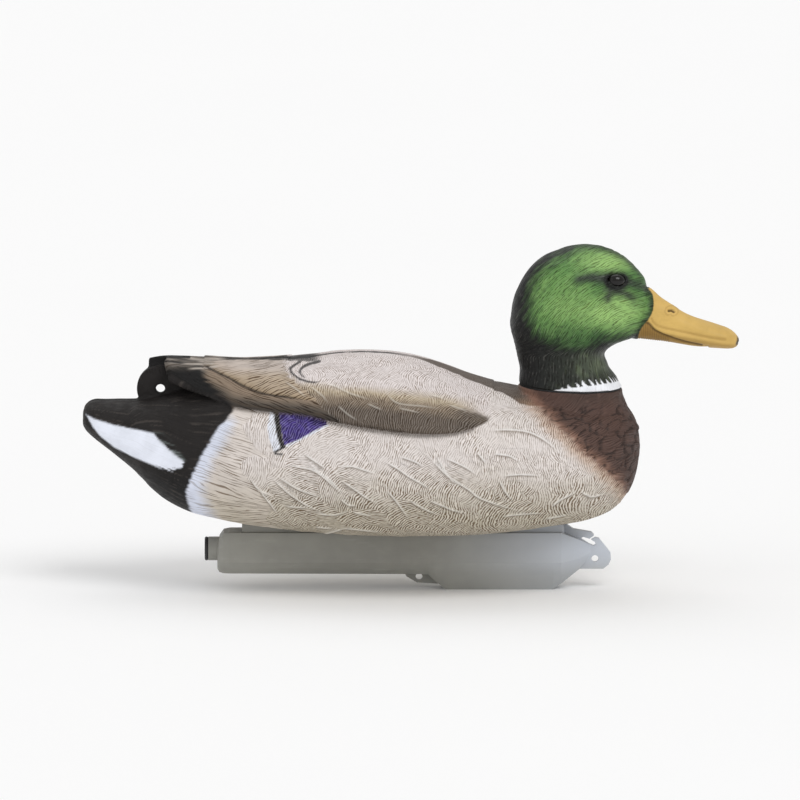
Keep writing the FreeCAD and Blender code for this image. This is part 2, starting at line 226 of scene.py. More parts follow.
def keep_outside(co, quads):
    """Only the connected piece that reaches furthest, so that hidden hollows go."""
    label = np.arange(len(co))
    while True:
        low = label[quads].min(1)
        new = label.copy()
        np.minimum.at(new, quads.ravel(), np.repeat(low, 4))
        new = new[new]
        if (new == label).all():
            break
        label = new
    keep = label == label[co[:, 0].argmax()]
    index = np.cumsum(keep) - 1
    return co[keep], index[quads[keep[quads[:, 0]]]]


def normals(co, quads):
    a, b, c, d = (co[quads[:, k]] for k in range(4))
    face = np.cross(c - a, d - b)
    total = np.zeros_like(co)
    for k in range(4):
        np.add.at(total, quads[:, k], face)
    return total / np.maximum(np.linalg.norm(total, axis=1, keepdims=True), 1e-9)


def relief(co, quads, height):
    """Push each vertex out by its height."""
    return co + normals(co, quads) * height[:, None]


def make_piece(name, co, quads, attributes, material):
    """A smooth mesh with its attributes, each given once per vertex or once per face corner."""
    mesh = bpy.data.meshes.new(name)
    mesh.vertices.add(len(co))
    mesh.vertices.foreach_set("co", (co / 1000).ravel())
    mesh.loops.add(quads.size)
    mesh.loops.foreach_set("vertex_index", quads.ravel())
    mesh.polygons.add(len(quads))
    mesh.polygons.foreach_set("loop_start", np.arange(0, quads.size, 4))
    mesh.polygons.foreach_set("use_smooth", np.ones(len(quads), bool))
    mesh.update()
    mesh.validate()
    for key, value in attributes.items():
        domain = "POINT" if len(value) == len(co) else "CORNER"
        kind, field = ("FLOAT_VECTOR", "vector") if value.shape[1] == 3 else ("FLOAT_COLOR", "color")
        mesh.attributes.new(key, kind, domain).data.foreach_set(field, value.astype(np.float32).ravel())
    mesh.materials.append(material)
    return link(name, mesh)


def rod_mesh(radius, low, high):
    """A closed upright cylinder on the neck, in metres, to stop its opening."""
    angles = np.linspace(0, 2 * math.pi, 48)[:-1]
    ring = [(NECK_X + radius * math.cos(a), radius * math.sin(a)) for a in angles]
    n = len(ring)
    points = [(x / 1000, y / 1000, z / 1000) for z in (low, high) for x, y in ring]
    faces = [[i, (i + 1) % n, n + (i + 1) % n, n + i] for i in range(n)]
    mesh = bpy.data.meshes.new("stop")
    mesh.from_pydata(points, [], faces + [list(range(n))[::-1], list(range(n, 2 * n))])
    return mesh


# ---- feather fields ----
def shingle(px, py, lean, spacing, length, half, seed, wobble=0.25, size_spread=0.25):
    """Overlapping feathers on a jittered lattice, tips towards -x turned by lean(x, y).

    Gives, for each place, how far along its feather it lies (0 root to 1 tip) and how far to the side (in
    half widths and in mm), and that feather's random number, middle, turn and bow.
    """
    a, b = spacing
    row = np.floor(py / b)
    best = np.full(px.shape, -1e9)
    names = ("along", "side", "side_mm", "pick", "cx", "cy", "turn", "bow")
    out = {k: np.zeros(px.shape) for k in names}
    for dj in (-2, -1, 0, 1, 2):
        j = row + dj
        shift = 0.5 * (j % 2)
        column = np.floor(px / a - shift)
        for di in (-2, -1, 0, 1, 2):
            i = column + di
            cx = (i + shift + 0.5 + 0.7 * (rand(i, j, seed) - 0.5)) * a
            cy = (j + 0.5 + 0.7 * (rand(i, j, seed + 1) - 0.5)) * b
            turn = lean(cx, cy) + wobble * (rand(i, j, seed + 2) - 0.5) * 2
            size = 1 + size_spread * (rand(i, j, seed + 3) - 0.5) * 2
            cos, sin = np.cos(turn), np.sin(turn)
            dx, dy = px - cx, py - cy
            forward = dy * sin - dx * cos
            bow = (rand(i, j, seed + 4) - 0.5) / length * 0.5
            sideways = -dx * sin - dy * cos + bow * forward ** 2
            s = forward / (length * size) + 0.5
            w = sideways / (half * size * np.sqrt(np.clip(1 - (2 * s - 0.9) ** 2 / 1.21, 0.02, 1)))
            rank = cx * cos - cy * sin
            wins = (s > 0) & (s < 1) & (abs(w) < 1) & (rank > best)
            best = np.where(wins, rank, best)
            for key, value in zip(names, (s, w, sideways, rand(i, j, seed + 5), cx, cy, turn, bow)):
                out[key] = np.where(wins, value, out[key])
    out["covered"] = (best > -1e8).astype(float)
    return out


def feather_relief(f, lift, shaft):
    """Height of overlapping feathers: rising to the tip, rounded at the edge, some with a raised shaft."""
    edge = np.minimum(1 - abs(f["side"]), (1 - f["along"]) * 2.5)
    web = lift * (0.3 + 0.7 * f["along"]) * smooth(0, 0.3, edge)
    reach = smooth(0.02, 0.2, f["along"]) * smooth(1.0, 0.75, f["along"]) * (f["pick"] > 0.4)
    stem = shaft * bell(f["side_mm"], 0.95) * reach
    return (web + stem) * f["covered"]


def feather_place(f, owner, px, py):
    """Where places lie in the feathers that own them, in mm: past the middle, and to the side."""
    cos, sin = np.cos(f["turn"][owner]), np.sin(f["turn"][owner])
    dx, dy = px - f["cx"][owner], py - f["cy"][owner]
    forward = dy * sin - dx * cos
    return forward, f["bow"][owner] * forward ** 2 - dx * sin - dy * cos


def barbs(f, owner, px, py, spread=0.5, bend=0.022):
    """The two coordinates of a feather's fine barbs, in mm: across them and along them."""
    forward, side = feather_place(f, owner, px, py)
    pick = f["pick"][owner]
    tilt = spread * (2 * np.modf(pick * 7)[0] - 1)
    curl = bend * np.where(np.modf(pick * 13)[0] > 0.35, 1, -1)
    return forward + tilt * side + curl * side ** 2 + 40 * pick, side + 60 * pick


def quill_field(x, y, runs):
    """The nearest of some raised shafts: signed distance in mm, positive below it, and 1 along its middle."""
    margin = 4
    side, reach = np.full(x.shape, 99.0), np.zeros(x.shape)
    for run in runs:
        xs, ys = zip(*run)
        near = (x > min(xs) - margin) & (x < max(xs) + margin)
        near &= (y > min(ys) - margin) & (y < max(ys) + margin)
        if near.any():
            d, along = line_distance(x[near], y[near], run)
            line_y = follow(x[near], sorted(run))
            wins = d < abs(side[near])
            side[near] = np.where(wins, np.where(y[near] < line_y, d, -d), side[near])
            reach[near] = np.where(wins, smooth(0, 0.2, along) * smooth(1, 0.6, along), reach[near])
    return side, reach


# ---- body: outlines in (s, t), in mm ----
WING_LOWER = spline([(-172, 156), (-155.5, 146), (-139, 139), (-129, 132.5), (-110, 128.5), (-79, 126),
    (-57.5, 121.5), (-32, 116), (-5, 112.5), (21.5, 112), (40, 114.5), (53, 119.5),
    (58, 124)])
SPEAR_UPPER = spline([(59, 124.5), (43, 129.5), (27, 133), (8, 136), (-12, 138), (-40, 141), (-75, 143)])
CREASE_HALF = [(-135, 2), (-110, 3), (-92, 4), (-84, 8), (-74, 9), (-66, 4), (-40, 3), (-15, 4), (7, 7),
    (22, 13), (36, 15.5), (52, 20.5), (65, 26), (78, 39)]
TERTIAL = spline([(-146, 161), (-137, 156), (-129.5, 152.5), (-122.5, 148.5), (-111.5, 143.5),
    (-101, 140.5), (-86.5, 138.5), (-72, 136.5)])
SECONDARY = spline([(-150, 152), (-133, 140), (-119, 133.5), (-104.5, 131.5), (-83, 129.5), (-60, 125.5)])
REAR_EDGE = [(118, -50), (122, -52), (130, -60), (141, -71), (150, -82), (158, -89), (170, -92)]
BLACK_QUILLS = [(-180, 160), (-151, 160), (-144, 149.5), (-135.5, 140.5), (-127.5, 132), (-124, 125),
    (-180, 125)]
TIP_EDGES = [spline(run, 4) for run in (
    [(-173, 168.5), (-162, 167.5), (-148, 166), (-130, 166)], [(-166, 163.5), (-154, 163), (-142, 162.5)],
    [(-161, 159.5), (-150, 160), (-139, 160.5)])]
CURL_OUTER = spline([(-79, 164.5), (-85, 160.5), (-85.5, 157.5), (-82, 153.5), (-76.5, 151),
    (-70, 149.5), (-65, 150)])
CURL_INNER = spline([(-65, 164.5), (-72, 163), (-77, 160.5), (-79, 157.5), (-78, 155), (-75.5, 153)])
WING_QUILLS = [spline(run, 3) for run in (
    [(-72, 147), (-62, 139), (-58, 133)], [(-63, 149), (-53, 146), (-43, 141), (-26, 136)],
    [(-18, 142), (-11, 135), (-4, 133), (8, 132), (24, 130)], [(15, 140), (26, 136)],
    [(27, 133), (43, 128)], [(-31, 134), (-19, 129)], [(-9, 131), (9, 127)],
    [(-52, 133), (-44, 126), (-36, 121)], [(-90, 150), (-80, 143), (-73, 137)])]
FLANK_QUILLS = [spline(run, 3) for run in (
    [(-114, 80), (-108, 72), (-97, 67)], [(-108, 72), (-100, 62), (-94, 53)],
    [(-99, 81), (-86, 69), (-72, 60), (-58, 54)], [(-95, 82), (-79, 72), (-60, 66)],
    [(-73, 92), (-65, 85), (-58, 80), (-50, 72), (-43, 69)],
    [(-90, 90), (-72, 87), (-63, 82), (-54, 74), (-43, 64)], [(-76, 98), (-58, 86)],
    [(-89, 60), (-72, 59)], [(-68, 55), (-54, 54), (-43, 57)], [(-68, 45), (-54, 44)],
    [(-64, 39), (-54, 42), (-43, 45)], [(-50, 88), (-42, 89), (-32, 86), (-22, 83)],
    [(-50, 79), (-42, 74), (-29, 65), (-21, 62)], [(-50, 66), (-44, 61), (-37, 61)],
    [(-41, 56), (-26, 53)], [(-50, 43), (-45, 44), (-19, 41)],
    [(-19, 93), (-10, 88), (0, 81), (9, 76), (18, 69)], [(-17, 72), (-10, 64), (0, 50)],
    [(-1, 65), (7, 60), (22, 53)], [(12, 65), (22, 61), (32, 57), (42, 55)],
    [(-7, 96), (4, 92), (11, 88)],
    [(12, 97), (18, 91), (27, 82), (42, 72), (50, 66), (67, 60), (86, 55)],
    [(19, 96), (23, 89), (33, 74)], [(25, 95), (40, 88), (50, 81)],
    [(64, 79), (67, 72), (74, 63)], [(66, 82), (79, 83), (94, 82)],
    [(59, 98), (72, 96), (80, 90)], [(56, 115), (72, 115), (86, 113), (100, 105), (111, 94)],
    [(100, 59), (107, 65), (120, 72)], [(121, 72), (128, 68), (139, 70)],
    [(65, 53), (86, 55), (98, 55)], [(96, 51), (114, 55)], [(48, 99), (55, 90)])]
WHITE_PATCH = [(-233, 126.5), (-227, 123), (-212.5, 118.5), (-198, 115.5), (-184, 113), (-179.5, 107.5),
    (-173.5, 101.5), (-166.5, 95.5), (-161.5, 91.5), (-163.5, 88), (-169, 86.5), (-178, 88),
    (-189.5, 92.5), (-201, 97), (-212.5, 102.5), (-222.5, 110.5), (-228, 117.5)]
SPECKLE = [(-184, 113), (-177, 112), (-170.5, 106), (-160.5, 92), (-166.5, 95), (-173.5, 101), (-179.5, 107)]
RUMP_EDGE = spline([(-118, 142), (-125, 133), (-127.5, 128), (-132, 122), (-139, 115), (-143.5, 106),
    (-149, 97.5), (-153.5, 87.5), (-157.5, 77.5), (-159.5, 69), (-157.5, 61.5), (-155, 54.5),
    (-152, 46), (-150, 30)])
BAND_WIDTH = [(30, 12), (55, 14), (72, 12.5), (95, 11), (107, 12), (118, 11), (124, 6), (128, 2), (140, 2)]
SPECULUM = [(-94.5, 128.5), (-60, 125.5), (-59.5, 119), (-68.5, 114.5), (-79, 108.5), (-90, 104)]
SPECULUM_BAR = [(-98, 130), (-94, 128), (-92, 115), (-91, 108), (-89, 102.5), (-92.5, 102.5),
    (-94.5, 108.5), (-96, 116)]
SPECULUM_WHITE = [(-100, 130), (-97, 130), (-96, 116), (-94.5, 108.5), (-92.5, 102.5), (-97, 98.5),
    (-98, 100.5), (-100.5, 108.5), (-102, 116.5)]
SPECULUM_HOOK = [(-89.5, 103), (-96, 99.5), (-96.5, 98), (-91.5, 97.5)]
SPECULUM_RIM = [(-88, 103.5), (-79, 108), (-68.5, 113.5), (-59, 118.5)]
BREAST_EDGE = spline([(70, 170), (78, 148), (85.5, 137.5), (96.5, 126), (102.5, 118.5), (113.5, 109),
    (121, 100.5), (133, 91.5), (142.5, 82), (151, 74.5), (156, 67), (168, 52)])

CREAM = srgb(232, 224, 220)
SHADED_SANDY_FLANK = srgb(202, 192, 172)
WASH_AND_SHADOW_BROWN = srgb(112, 96, 76)
STRAND_TAN = srgb(204, 194, 184)
WING_LIGHT = srgb(230, 221, 219)
WING_SAND = srgb(186, 169, 140)
WING_MID = srgb(136, 120, 102)
WING_DARK = srgb(88, 77, 68)
REAR_PALE = srgb(196, 184, 175)
REAR_SAND = srgb(186, 168, 146)
REAR_BROWN = srgb(150, 130, 104)
QUILL_BROWN = srgb(142, 125, 108)
QUILL_DARK = srgb(88, 80, 72)
QUILL_EDGE = srgb(58, 52, 47)
TIP_DARK = srgb(86, 80, 74)
TIP_STREAK = srgb(178, 168, 158)
TIP_LIGHT = srgb(188, 178, 168)
TERTIAL_LINE = srgb(46, 40, 36)
SECONDARY_LINE = srgb(80, 68, 56)
BLACK = srgb(22, 21, 21)
RUMP = srgb(34, 31, 30)
RUMP_HAIR = srgb(76, 70, 66)
BAND_BLUE = srgb(220, 225, 240)
SPECKLE_GREY = srgb(104, 112, 110)
WHITE = srgb(233, 237, 248)
PURPLE = srgb(68, 52, 132)
PURPLE_SHEEN = srgb(132, 122, 190)
BREAST = srgb(86, 65, 58)
BREAST_RUST = srgb(140, 106, 90)
BREAST_TOP = srgb(70, 56, 50)
BREAST_FLECK = srgb(126, 98, 88)
SCALE_LINE = srgb(48, 36, 32)
ORANGE = srgb(190, 153, 122)
MANTLE = srgb(98, 86, 77)
REAR_SLANT = (0.93, 0.36)        # cosine and sine of the slope of the strokes on the long quills
TERTIAL_SLANT = (0.87, -0.5)     # and above the tertial line


def girth(co):
    """Distance round the hull from its widest line, in mm, up positive, and the same as an angle."""
    x, y, z = co[:, 0], abs(co[:, 1]), co[:, 2]
    slots = np.arange(-232, 165, 6.0)
    half, belt, top, low = ([] for _ in range(4))
    for at in slots:
        near = abs(x - at) < 3
        half.append(y[near].max())
        belt.append(np.median(z[near][y[near] > 0.97 * y[near].max()]))
        top.append(z[near].max())
        low.append(z[near].min())
    half, belt, top, low = (np.interp(x, slots, v) for v in (half, belt, top, low))
    reach = np.where(z > belt, top - belt, belt - low) + 1
    turn = np.arctan2((z - belt) / reach, np.maximum(y, 0.01) / half)
    return turn * np.sqrt((half ** 2 + reach ** 2) / 2), turn


def body_places(co):
    """Where each vertex of the body lies: in the side view, round the hull and in which region."""
    x, z = co[:, 0], co[:, 2]
    p = SimpleNamespace(x=x, z=z, half=abs(co[:, 1]), far=np.where(co[:, 1] < 0, 0, APART))
    p.s, p.t = x, z - VIEW_TILT * p.half
    p.g, turn = girth(co)
    p.blotch = fractal(x / 23, p.g / 17 + p.far, 11)
    p.fine = fractal(x / 4.1, p.g / 3.3 + p.far, 12)

    wing = away(p, WING_LOWER)
    p.wing = np.where((p.t > follow(p.s, WING_LOWER)) & (p.s > -190) & (p.s < 58), wing, -wing)
    p.on_wing = smooth(-0.4, 0.8, p.wing)
    p.under = 1 - p.on_wing
    p.rear_side = smooth(2.5, -2.5, p.s - follow(p.t, REAR_EDGE) + 4 * p.fine)
    p.rear = p.rear_side * p.on_wing
    p.above_tertial = (p.t > follow(p.s, TERTIAL)) * p.rear
    p.tertial_d = away(p, TERTIAL)
    p.in_tertial = (p.s > -148) & (p.s < -72) & (p.on_wing > 0)
    p.streaks = noise(p.s / 18, (p.t + 0.12 * p.s) / 1.3, 35)
    crease = follow(x, CREASE_HALF) - p.half + 1.2 * noise(x / 5, p.far, 9)
    p.on_crease = smooth(-1, 1.5, crease) * (z > 120)

    ahead = np.where(p.s > follow_up(p.t, BREAST_EDGE), 1, -1)
    p.breast_in = ahead * away(p, BREAST_EDGE)
    p.on_breast = smooth(-1, 3, p.breast_in)

    p.rump_across = turn * 62 + 2.2 * noise(x / 22, p.g / 16 + p.far, 7)
    p.ragged = 0.8 * noise(p.rump_across / 1.7, x / 30, 71)
    p.past = follow_up(p.t, RUMP_EDGE) - p.s + p.ragged
    p.on_rump = (p.past > 0) * p.under
    p.hair = noise(p.rump_across / 1.1, x / 14, 74)
    patch = inside_distance(p.s, p.t + 0.5 * p.ragged, WHITE_PATCH) + 1.3 * p.hair * smooth(-185, -172, p.s)
    p.on_patch = smooth(-0.8, 0.8, patch)

    p.drift = 2.0 * noise(x / 30, p.g / 12 + p.far, 8)
    p.strand_across = p.t + 0.32 * smooth(46, 64, p.t) * (p.s + 150) + p.drift
    ragged_band = 0.12 * noise(p.strand_across / 1.5, x / 20, 73)
    p.band = smooth(1.45, 0.4, ragged_band - p.past / follow(p.t, BAND_WIDTH))

    p.quill_side, reach = quill_field(p.s, p.t, FLANK_QUILLS + WING_QUILLS)
    p.quill_reach = reach * (1 - p.on_breast) * (1 - 0.45 * p.on_wing)
    return p


def flank_lean(cx, cy):
    slope = np.interp(cx, [-150, -90, -20, 60, 130], [0.5, 0.62, 0.52, 0.45, 0.2])
    return slope + 0.25 * noise(cx / 40, cy / 40, 5)


def wing_lean(cx, cy):
    return np.interp(cx, [-150, -60, 60], [-0.3, 0.1, 0.25])


def no_lean(cx, cy):
    return 0 * cx


def add_feathers(p):
    """The feathers of the flank, the wing and the breast, and the hair-like strands before the rump."""
    around = p.g + p.far
    p.flank = shingle(p.x, around, flank_lean, (24, 15), 52, 15, 21, 0.3)
    p.covert = shingle(p.x, around, wing_lean, (22, 17), 44, 15, 41)
    p.scale = shingle(p.x, around, no_lean, (8.5, 7.5), 15, 7, 61, 0.5, 0.3)
    behind = (p.flank["cx"] + 10 * (p.flank["pick"] - 0.5) < -99) | (p.past > -16)
    p.strand = behind * p.under * (1 - p.on_breast)


def slanted(p, cos, sin):
    """Across and along strokes that slope as the cosine and sine say."""
    return sin * p.s + cos * p.g + p.drift, cos * p.s - sin * p.g


def body_grain(p, quads):
    """The fine barbs at each face's corners: across and along them in mm, and how regular they are.

    A face goes with its first corner, so that none is stretched over a feather's border.
    """
    at, owner = quads.ravel(), np.repeat(quads[:, 0], 4)
    px, py = p.x[at], p.g[at] + p.far[owner]
    strand, rump, wing, rear, tertial, breast = (
        mask[owner] for mask in (p.strand, p.on_rump, p.on_wing, p.rear, p.above_tertial, p.on_breast))
    coarse = 1 - 0.24 * smooth(0, -40, p.flank["cy"][owner] - p.far[owner])
    flank_across, flank_along = barbs(p.flank, owner, px, py)
    wing_across, wing_along = barbs(p.covert, owner, px, py, 0.3, 0.03)
    scale_along, scale_across = feather_place(p.scale, owner, px, py)
    rear_across, rear_along = slanted(p, *REAR_SLANT)
    tertial_across, tertial_along = slanted(p, *TERTIAL_SLANT)
    across = choose(flank_across * coarse, (strand, p.strand_across[at]), (rump, p.rump_across[at]),
                    (wing, wing_across), (rear, rear_across[at]), (tertial, tertial_across[at]),
                    (breast, scale_across))
    along = choose(flank_along, (strand, px), (wing, wing_along), (rear, rear_along[at]),
                   (tertial, tertial_along[at]), (breast, scale_along))
    regular = choose(np.ones(len(owner)), (strand, 0.0), (rear, 0.0), (rump, 0.0), (breast, 0.2))
    return np.column_stack([across, along, regular])


def body_relief(p):
    """Height of the moulded relief, in mm."""
    open_flank = (1 - p.strand) * p.under * (1 - p.on_breast)
    open_wing = p.on_wing * (1 - p.rear) * (1 - p.on_breast)
    height = feather_relief(p.flank, 0.16, 0.35) * open_flank
    height += feather_relief(p.covert, 0.16, 0.0) * open_wing
    height += feather_relief(p.scale, 0.9, 0.0) * p.on_breast * smooth(143, 136, p.z)
    height += p.strand * 0.14 * noise(p.strand_across / 2.4, p.x / 24, 14)
    height += (0.6 * bell(p.quill_side, 0.9) - 0.3 * bell(p.quill_side - 1.8, 0.9)) * p.quill_reach
    height += 0.9 * (p.above_tertial > 0) * smooth(0, 1.5, p.tertial_d) * p.in_tertial
    height += p.rear * 0.25 * p.streaks
    height += 0.6 * smooth(9, 0, p.wing) * p.on_wing * smooth(50, 20, p.x)
    height -= 0.8 * bell(p.wing + 1.4, 1.3) * (p.x < 50) * (p.x > -130)
    return height - 0.8 * p.on_crease * smooth(-20, -60, p.x)


def paint_flank(p):
    """Cream above; sandier paint below, darkened further by painted shade towards the bottom; and a painted
    shadow line under each shaft.
    """
    c = plain(CREAM, len(p.x))
    # Lower flank: sandier paint, with painted shade darkening it towards the bottom
    c = paint(c, SHADED_SANDY_FLANK, smooth(98, 44, p.t) * 0.95 + 0.14 * p.blotch)
    c = paint(c, WASH_AND_SHADOW_BROWN, 0.22 * smooth(0.1, 1, p.fine) * smooth(110, 50, p.t))
    c = paint(c, STRAND_TAN, 0.5 * p.strand)
    # Lower rear flank: the same sandier paint with painted shade
    c = paint(c, SHADED_SANDY_FLANK, 0.35 * smooth(-99, -125, p.s) * smooth(80, 50, p.t))
    # Painted shadow line under each raised shaft, in the brown of the wash
    return paint(c, WASH_AND_SHADOW_BROWN, 0.25 * bell(p.quill_side - 1.5, 0.8) * p.quill_reach)


def paint_speculum(c, p):
    """The purple panel under the wing's edge, with its white and black borders."""
    purple = PURPLE * (1 + 0.35 * noise(p.s / 2.2, p.t / 1.4, 51))[:, None]
    sheen = smooth(0.35, 0.9, noise((p.s - p.t) / 7, (p.s + p.t) / 1.6, 52))
    purple = paint(purple, PURPLE_SHEEN, 0.5 * sheen)
    c = paint(c, WHITE, smooth(-0.5, 0.4, within(p, SPECULUM_WHITE)))
    c = paint(c, WHITE, smooth(1.1, 0.4, away(p, SPECULUM_RIM)))
    c = paint(c, purple, smooth(-0.4, 0.4, within(p, SPECULUM)))
    c = paint(c, BLACK, smooth(-0.4, 0.4, within(p, SPECULUM_BAR)))
    return paint(c, BLACK, smooth(1.1, 0.4, away(p, SPECULUM_HOOK)))


def paint_rump(c, p):
    """White band, black rump, and the white patch beside the tail."""
    c = paint(c, BAND_BLUE, p.band * smooth(127, 119, p.t + 2 * p.ragged))
    c = paint(c, RUMP, smooth(-1.6, 1.6, p.past))
    c = paint(c, BLACK, smooth(95, 70, p.t) * smooth(0, 1.5, p.past))
    c = paint(c, RUMP_HAIR, 0.6 * smooth(0.35, 0.9, p.hair) * p.on_rump)
    c = paint(c, WHITE, p.on_patch)
    speckle = smooth(-1.5, 1, within(p, SPECKLE)) * smooth(-0.1, 0.5, p.hair)
    return paint(c, SPECKLE_GREY, 0.75 * speckle)


def rear_quills(p):
    """Colours of the long quills behind the coverts, dark at the tip and along the lower edge."""
    upper = plain(REAR_PALE, len(p.x))
    upper = paint(upper, REAR_SAND, smooth(160, 151, p.t + 2 * p.blotch) * 0.9)
    upper = paint(upper, REAR_BROWN, np.exp(-p.tertial_d / 4.5) * 0.9 + 0.1 * p.blotch)
    lower = plain(QUILL_BROWN, len(p.x))
    lower = paint(lower, QUILL_DARK, smooth(12, 4, p.wing + 1.5 * p.blotch))
    lower = paint(lower, QUILL_EDGE, smooth(7, 1.5, p.wing) * 0.9)
    c = paint(upper, lower, (p.above_tertial < 0.5) * 1.0)

    tip = smooth(-138, -152, p.x - 0.6 * (p.t - 160) + 5 * p.fine)
    c = paint(c, TIP_DARK, tip * 0.9)
    pale = tip * smooth(0.0, 0.6, p.streaks) * smooth(153, 159, p.t) * smooth(-178, -166, p.s)
    c = paint(c, TIP_STREAK, 0.8 * pale)
    c = paint(c, BLACK, tip * smooth(-0.1, -0.6, p.streaks) * 0.85)
    black = within(p, BLACK_QUILLS) + 2.5 * p.streaks
    c = paint(c, BLACK, smooth(-2, 3, black) * (p.s < -122))
    for run in TIP_EDGES:
        d, a = line_distance(p.s, p.t, run)
        c = paint(c, TIP_LIGHT, 0.8 * smooth(1.0, 0.3, d) * smooth(0, 0.3, a))
    return c


def wing_colours(p):
    """Colours of the folded wing: pale coverts, a dark spear below them, and the long quills behind."""
    c = plain(WING_LIGHT, len(p.x))
    spear = away(p, SPEAR_UPPER)
    spear = np.where(p.t < follow(p.s, sorted(SPEAR_UPPER)), spear, -spear) + 1.6 * p.blotch + 0.9 * p.fine
    spear = np.where(p.s < -75, (143 - p.t) + 1.6 * p.blotch, spear)
    c = paint(c, WING_SAND, smooth(-9, 0, spear) * smooth(57, 30, p.s) * 0.9)
    c = paint(c, WING_MID, smooth(-2, 4.5, spear))
    c = paint(c, WING_DARK, smooth(4, 12, spear) * 0.9)
    c = paint(c, WING_DARK, smooth(22, 42, p.s) * smooth(-0.5, 3, spear) * 0.8)
    c = paint(c, rear_quills(p), p.rear_side)

    c = paint(c, TERTIAL_LINE, 0.9 * smooth(1.0, 0.3, p.tertial_d) * p.in_tertial * smooth(-74, -90, p.s))
    second_d = away(p, SECONDARY)
    c = paint(c, SECONDARY_LINE, 0.6 * smooth(1.3, 0.3, second_d) * (p.s > -132) * (p.s < -60))
    top = smooth(164.3, 165.8, p.t + p.fine) * smooth(-62, -70, p.s) * smooth(-142, -130, p.s)
    c = paint(c, BLACK, 0.85 * top)
    for run, width in ((CURL_OUTER, 1.05), (CURL_INNER, 1.15)):
        d, a = line_distance(p.s, p.t, run)
        brushed = d + 0.35 * abs(p.fine) + 0.7 * a ** 4
        c = paint(c, BLACK, 0.93 * smooth(width + 0.4, width - 0.5, brushed))
    return c


def paint_breast(c, p):
    """The dark crease and mantle along the back, and the rusty brown breast with its scaly feathers."""
    c = paint(c, BLACK, p.on_crease * smooth(10, -20, p.x) * 0.95)
    c = paint(c, MANTLE, p.on_crease * smooth(-20, 15, p.x))
    edge = p.breast_in + 1.6 * p.fine + 1.2 * noise(p.x / 4, p.g / 1.6, 75)
    c = paint(c, ORANGE, smooth(-12, -1, edge) * 0.65 * smooth(140, 130, p.t))
    c = paint(c, BREAST_RUST, smooth(-4, 3.5, edge))
    c = paint(c, BREAST, smooth(0, 9, edge))
    c = paint(c, BREAST * 0.72, smooth(146, 162, p.s) * p.on_breast * 0.7)
    c = paint(c, BREAST_TOP, p.on_breast * smooth(128, 142, p.t) * smooth(100, 122, p.s) * 0.7)
    tip_gap = np.minimum(1 - abs(p.scale["side"]), 1.6 * (1 - p.scale["along"]))
    arc = smooth(0.34, 0.08, tip_gap) * smooth(-0.6, 0.1, noise(p.x / 3.1, p.g / 2.7, 76))
    c = paint(c, SCALE_LINE, 0.85 * arc * p.on_breast * smooth(141, 134, p.z))
    return paint(c, BREAST_FLECK, 0.4 * smooth(0.2, 1, p.fine) * p.on_breast)


def body_colours(p):
    c = paint_rump(paint_speculum(paint_flank(p), p), p)
    c = paint(c, wing_colours(p), p.on_wing * smooth(60, 54, p.s + 2 * p.fine))
    shade = bell(p.wing + 0.5, 1.0) * (p.x < 46) * (p.x > -128)
    c = paint(c, WING_DARK, 0.65 * shade)
    lug = smooth(8, 6, p.half) * (p.x < -158) * (p.z > 136)
    return paint_breast(paint(c, RUMP, lug), p)


def body_strength(p):
    """How strongly the fine barbs show."""
    strength = mix(0.95, 1.9, smooth(92, 55, p.t))
    strength = mix(strength, 0.8, p.on_breast)
    strength = mix(strength, 1.5, p.rear)
    strength = mix(strength, mix(1.0, 0.7, smooth(95, 110, p.t)), p.strand)
    strength = mix(strength, 0.55, smooth(0, 2, p.past) * p.under)
    return strength * (1 - 0.5 * p.on_crease) * (1 - 0.7 * p.on_patch) * (1 - 0.5 * p.band)


def attribute_set(colours, strength, grain, side, reach):
    """What the painted material reads: colour and strength, barbs, and the nearest shaft."""
    return {
        "paint": np.column_stack([np.clip(colours, 0, 1), strength]),
        "grain": grain,
        "quill": np.column_stack([side, reach, 0 * side]),
    }


# ---- head: outlines in (s, t), in mm ----
SWIRL = (182, 135)   # the strokes on the head run round this place
NAPE_EDGE = spline([(136, 249), (121, 244.5), (107, 238.5), (96, 228.5), (89.5, 218), (86.5, 205),
    (86.5, 195), (91, 185.5), (102, 178.5), (115, 174.5), (127, 175.5), (138, 179.5),
    (147, 182), (162, 184.5)])
NAPE_OUTLINE = NAPE_EDGE + [(190, 184), (190, 252), (135, 252)]
FACE_EDGE = spline([(190, 218.5), (178, 218.5), (170.5, 217.5), (173, 213), (174.5, 205), (173.5, 199.5),
    (170.5, 194.5), (166, 189), (164, 183.5), (163, 176)])
FACE_OUTLINE = [(40, 130), (40, 260), (190, 260)] + FACE_EDGE + [(158, 150), (158, 130)]
BROW = spline([(113, 221), (125, 224.5), (136, 224.5), (143, 224)])
LORE = spline([(154, 223), (162, 220.5), (170, 218)])
BELOW_EYE = spline([(144, 216), (142, 211), (143, 206.5)])
CHEEK = spline([(148, 216), (155, 213.5), (159.5, 210.5), (160.5, 206.5)])
FACE_MARKS = ((BROW, 3.8, 0.88), (LORE, 3.0, 0.75), (BELOW_EYE, 3.8, 0.85), (CHEEK, 3.4, 0.85))
GAPE = spline([(169, 193), (172, 192), (176, 187.5), (184, 183.5), (195.5, 179.5), (206.5, 177),
    (214, 175.5)])
BILL_EDGE = spline([(170.5, 197), (173.5, 191), (179.5, 187), (191.5, 184), (205, 181.5), (222.5, 178.5),
    (233, 177.5)])
BILL_GROOVE = spline([(173.5, 196), (176.5, 191.5), (184, 189), (198, 186), (214, 182.5), (226, 180.5)])
NOSTRIL = spline([(185.5, 201), (187.5, 201), (189, 200)])
COLLAR_TOP = [(96, 143.5), (104, 144.5), (117.5, 146.5), (131, 148), (144.5, 150), (152, 152)]
BRIGHT_SPOTS = ((147, 201, 22, 12, 1.1), (143, 236, 19, 8, 1.0), (110, 205, 18, 18, 0.5))

